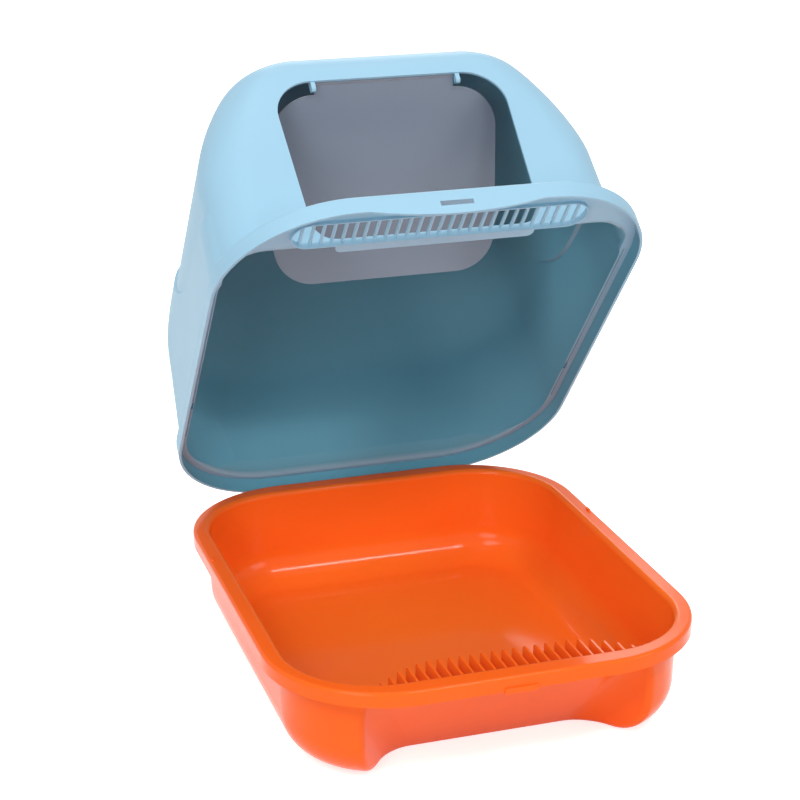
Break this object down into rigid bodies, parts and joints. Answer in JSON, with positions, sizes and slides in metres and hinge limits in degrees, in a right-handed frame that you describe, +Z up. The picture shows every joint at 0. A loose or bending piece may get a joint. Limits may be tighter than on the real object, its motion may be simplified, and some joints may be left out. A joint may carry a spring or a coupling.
{
  "type": "covered litter box",
  "caption": "Covered litter box with a deep tray, a domed hood hinged behind the tray's rim, a slotted front ledge and a see-through swinging entry flap.",
  "frame": {"origin": "centre of the tray's rim outline, on the floor plane that the tray stands on", "axes": "-Y to the entry side, +Z up, +X to the right of a viewer who faces the entry; the hood stands open at rest"},
  "size_m": [0.393, 0.5786, 0.5379],
  "materials": {
    "tray_plastic": "glossy orange",
    "hood_plastic": "satin light blue",
    "flap_plastic": "smoke grey, see-through",
    "pin_plastic": "satin pale grey"
  },
  "bodies": {
    "base": {"tray": "tray_plastic", "hinge_pin_left": "pin_plastic", "hinge_pin_right": "pin_plastic"},
    "cover": {"hood": "hood_plastic"},
    "flap": {"entry_flap": "flap_plastic"}
  },
  "joints": [
    {"name": "hood_swing", "type": "hinge", "parent": "base", "child": "cover", "pos_m": [0, 0.24575, 0.0865], "axis": [1, 0, 0], "range_deg": [0, 49.25]},
    {"name": "flap_swing", "type": "hinge", "parent": "cover", "child": "flap", "pos_m": [0, 0.12918, 0.52113], "axis": [1, 0, 0], "range_deg": [-49.25, 38]}
  ]
}
